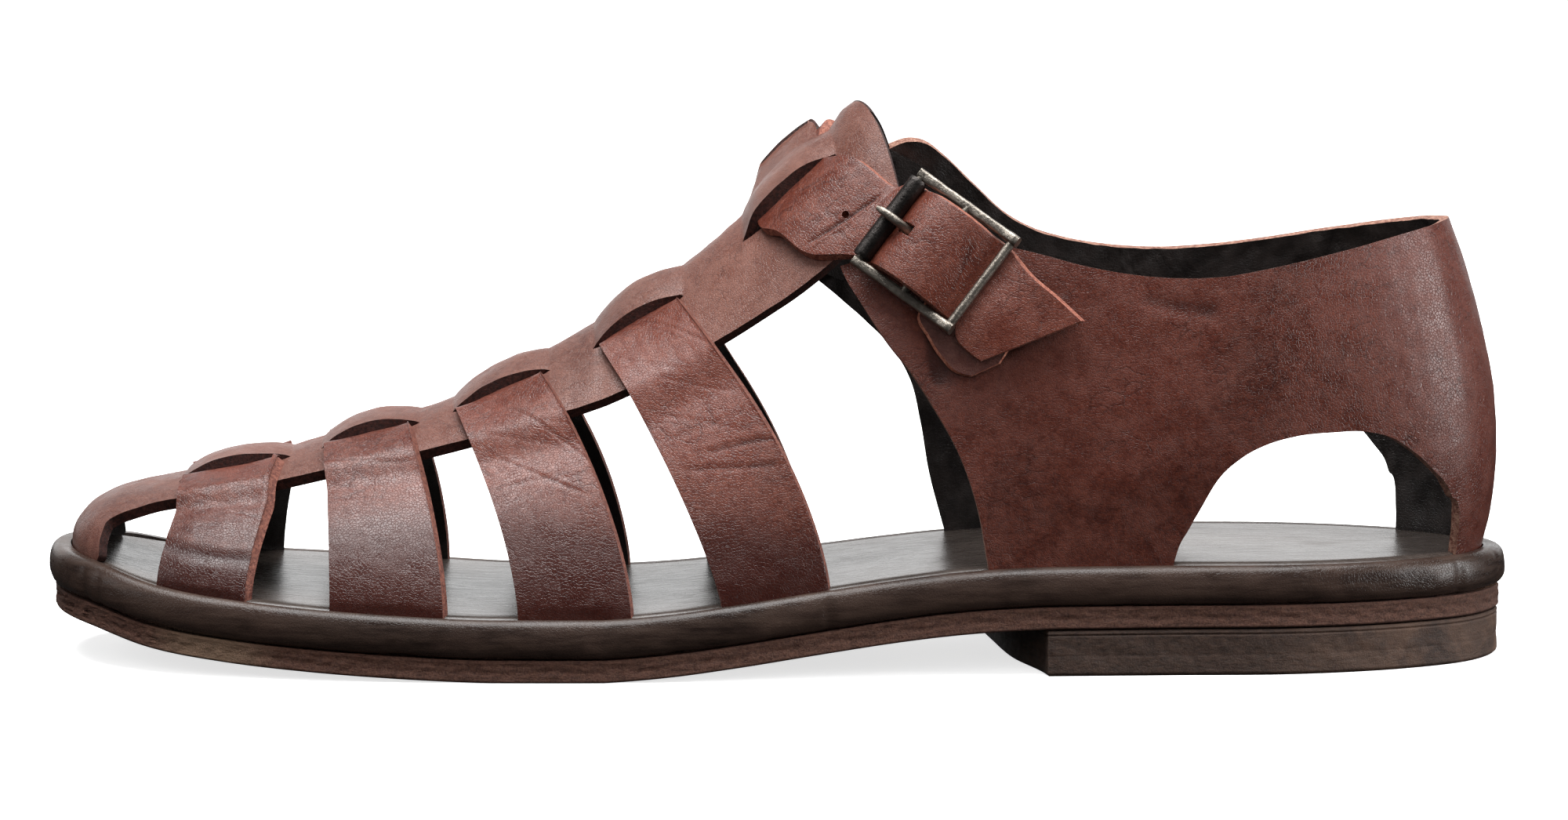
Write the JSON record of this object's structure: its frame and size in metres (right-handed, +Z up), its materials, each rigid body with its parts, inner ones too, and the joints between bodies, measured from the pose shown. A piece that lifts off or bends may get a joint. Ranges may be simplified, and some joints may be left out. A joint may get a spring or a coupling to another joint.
{
  "type": "huarache sandal",
  "caption": "Closed-heel leather huarache sandal, left foot, with woven cross straps on a raised spine, a buckled ankle strap and a low stacked heel.",
  "frame": {"origin": "middle of the underside of the sandal's box, on the floor", "axes": "+Z up, -X towards the toe, -Y towards the outer side of the foot, where the buckle is"},
  "size_m": [0.2922, 0.0956, 0.1097],
  "materials": {
    "outsole": "vegetable tanned sole leather, raw fibrous edge",
    "heel_block": "stacked leather, worn edge",
    "rand": "dark smooth wrapped leather, soft sheen",
    "insole": "dark smooth leather, silky",
    "upper": "reddish brown pull-up leather, semi-gloss",
    "buckle_frame": "antiqued gunmetal",
    "buckle_roller": "dark antiqued gunmetal",
    "buckle_prong": "antiqued gunmetal",
    "buckle_chape": "reddish brown pull-up leather, raw cut edge"
  },
  "bodies": {
    "root": {"outsole": "outsole", "heel_block": "heel_block", "rand": "rand", "insole": "insole", "upper": "upper", "buckle_frame": "buckle_frame", "buckle_roller": "buckle_roller", "buckle_prong": "buckle_prong", "buckle_chape": "buckle_chape"}
  },
  "joints": []
}
